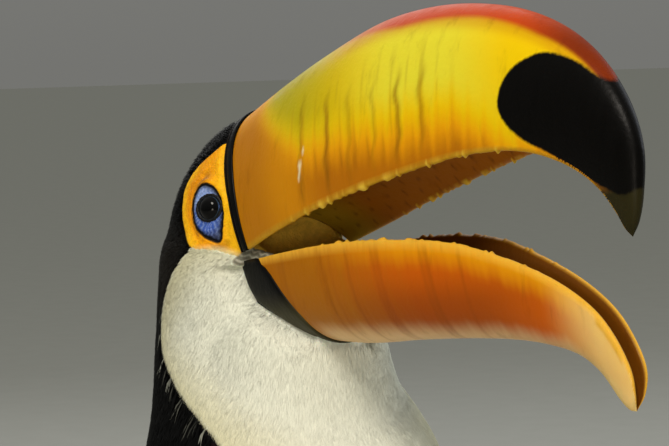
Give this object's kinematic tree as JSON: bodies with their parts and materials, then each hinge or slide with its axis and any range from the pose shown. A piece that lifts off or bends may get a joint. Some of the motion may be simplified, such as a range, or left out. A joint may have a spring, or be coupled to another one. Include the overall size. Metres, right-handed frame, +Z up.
{
  "type": "toco toucan, life-size still model",
  "caption": "Life-size still model of a standing toco toucan with its great hooked bill raised and parted, wings folded and tail clear of the floor.",
  "frame": {"origin": "the floor under the middle of the whole bird's box", "axes": "+X the way the bird faces and along its length, +Y to its left side, +Z up"},
  "size_m": [0.4326, 0.1294, 0.3775],
  "materials": {
    "black_plumage": "soft black feathers with a faint sheen",
    "white_bib": "fine cream-white feathers",
    "red_coverts": "loose red feathers",
    "orange_horn": "smooth satin horn, yellow to orange",
    "black_horn": "smooth black horn",
    "tongue": "dry dark brown skin",
    "eye": "wet, near-black dome",
    "leg_skin": "blue-grey scaled skin",
    "claw": "dark satin horn"
  },
  "bodies": {
    "root": {"head": "black_plumage", "neck": "white_bib", "torso": "black_plumage", "wing_left": "black_plumage", "wing_right": "black_plumage", "tail": "black_plumage", "uppertail_coverts": "white_bib", "undertail_coverts": "red_coverts", "thigh_left": "black_plumage", "thigh_right": "black_plumage", "bill_upper": "orange_horn", "bill_lower": "orange_horn", "bill_band_upper": "black_horn", "bill_band_lower": "black_horn", "tongue": "tongue", "eye_left": "eye", "eye_right": "eye", "foot_left": "leg_skin", "foot_right": "leg_skin", "claw_outer_front_left": "claw", "claw_inner_front_left": "claw", "claw_outer_rear_left": "claw", "claw_inner_rear_left": "claw", "claw_outer_front_right": "claw", "claw_inner_front_right": "claw", "claw_outer_rear_right": "claw", "claw_inner_rear_right": "claw"}
  },
  "joints": []
}
